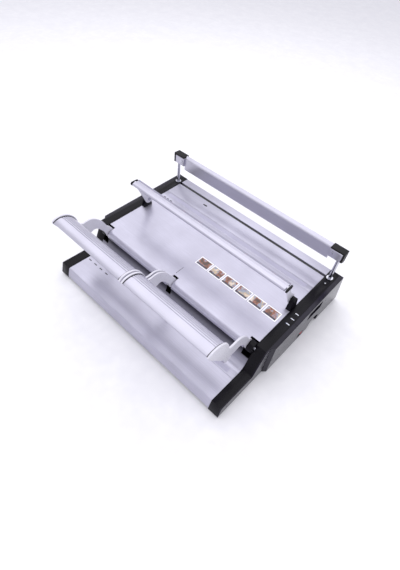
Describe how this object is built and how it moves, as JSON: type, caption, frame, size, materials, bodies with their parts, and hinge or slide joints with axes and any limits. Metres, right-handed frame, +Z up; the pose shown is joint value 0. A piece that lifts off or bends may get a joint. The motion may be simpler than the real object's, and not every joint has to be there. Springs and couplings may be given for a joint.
{
  "type": "desktop cover sealer",
  "caption": "Flat desktop film-sealing machine with front press handles over a tray, a swing-over middle bar and a sliding rear bar on guide rods.",
  "frame": {"origin": "centre of the footprint on the table, under the middle of the bounding box", "axes": "+X to the right of the operator, +Y from the operator to the back, +Z up"},
  "size_m": [0.6622, 0.565, 0.2488],
  "materials": {
    "panel_aluminium": "fine brushed and clear anodised",
    "base_steel": "powder coated",
    "frame_plastic": "moulded, semi-gloss black",
    "cover_plastic": "moulded, polished dark grey",
    "bar_aluminium": "extruded and clear anodised",
    "arm_paint": "light grey enamel",
    "cap_plastic": "moulded black",
    "bright_steel": "ground and plated",
    "spring_steel": "spring wire",
    "silicone_pad": "moulded silicone",
    "seal_bed": "heat-resistant laminate bar",
    "nonstick_cloth": "coated glass cloth",
    "foot_rubber": "moulded",
    "rocker_red": "moulded red",
    "lens_white": "diffusing",
    "label_film": "printed film",
    "core_steel": "laminated and varnished",
    "winding_tape": "taped winding",
    "board_laminate": "board with components"
  },
  "bodies": {
    "chassis": {"back_panel": "base_steel", "base_plate": "base_steel", "board_standoffs": "bright_steel", "centre_pivot_bracket": "base_steel", "control_board": "board_laminate", "cover_screws": "bright_steel", "front_seal_beds": "panel_aluminium", "handle_hub_caps": "frame_plastic", "handle_pivot_pins": "bright_steel", "handle_torsion_springs": "spring_steel", "heating_wires": "spring_steel", "indicator_lenses": "lens_white", "left_end_frame": "frame_plastic", "left_side_cover": "cover_plastic", "microswitches": "cap_plastic", "middle_pivot_lugs": "frame_plastic", "middle_pivot_screws": "bright_steel", "middle_seal_bed": "panel_aluminium", "nonstick_tapes": "nonstick_cloth", "picture_labels": "label_film", "power_inlet": "cap_plastic", "rear_guide_bushes": "bright_steel", "rear_rail": "panel_aluminium", "rear_return_springs": "spring_steel", "rear_seal_bed": "seal_bed", "rear_slot_channel": "base_steel", "rear_top_panel": "panel_aluminium", "right_control_cover": "cover_plastic", "right_end_frame": "frame_plastic", "right_front_cover": "cover_plastic", "rocker_bezel": "cap_plastic", "rubber_feet": "foot_rubber", "top_panel": "panel_aluminium", "transformer_core": "core_steel", "transformer_winding": "winding_tape", "tray_panel": "panel_aluminium"},
    "left_handle": {"left_handle_arms": "arm_paint", "left_handle_grip": "bar_aluminium", "left_handle_grip_ends": "cap_plastic", "left_handle_press_bar": "bar_aluminium", "left_handle_press_brackets": "arm_paint", "left_handle_press_pad": "silicone_pad"},
    "right_handle": {"right_handle_arms": "arm_paint", "right_handle_grip": "bar_aluminium", "right_handle_grip_ends": "cap_plastic", "right_handle_press_bar": "bar_aluminium", "right_handle_press_brackets": "arm_paint", "right_handle_press_pad": "silicone_pad"},
    "middle_bar": {"middle_bar_arms": "arm_paint", "middle_bar_end_caps": "cap_plastic", "middle_bar_extrusion": "bar_aluminium", "middle_press_cord": "silicone_pad"},
    "rear_bar": {"rear_bar_extrusion": "bar_aluminium", "rear_bar_brackets": "bar_aluminium", "rear_bar_end_caps": "cap_plastic", "rear_guide_rods": "bright_steel", "rear_press_blade": "bright_steel", "rear_rod_collars": "cap_plastic", "rear_bracket_screws": "bright_steel"},
    "power_rocker": {"power_rocker": "rocker_red"}
  },
  "joints": [
    {"name": "left_handle_hinge", "type": "hinge", "parent": "chassis", "child": "left_handle", "pos_m": [-0.135, -0.1145, 0.108], "axis": [1, 0, 0], "range_deg": [0, 54], "stiffness_Nm_per_rad": 0.9, "springref_deg": -80.21},
    {"name": "right_handle_hinge", "type": "hinge", "parent": "chassis", "child": "right_handle", "pos_m": [0.135, -0.1145, 0.108], "axis": [1, 0, 0], "range_deg": [0, 54], "stiffness_Nm_per_rad": 0.9, "springref_deg": -80.21},
    {"name": "middle_bar_hinge", "type": "hinge", "parent": "chassis", "child": "middle_bar", "pos_m": [0, 0.0455, 0.154], "axis": [-1, 0, 0], "range_deg": [0, 127.6]},
    {"name": "rear_bar_slide", "type": "slide", "parent": "chassis", "child": "rear_bar", "axis": [0, 0, -1], "range_m": [0, 0.062], "stiffness_N_per_m": 300, "springref_m": -0.08, "deforming": ["rear_return_springs"]},
    {"name": "power_rocker_tilt", "type": "hinge", "parent": "chassis", "child": "power_rocker", "pos_m": [0.3254, 0.0655, 0.026], "axis": [0, 0, 1], "range_deg": [0, 20]}
  ]
}
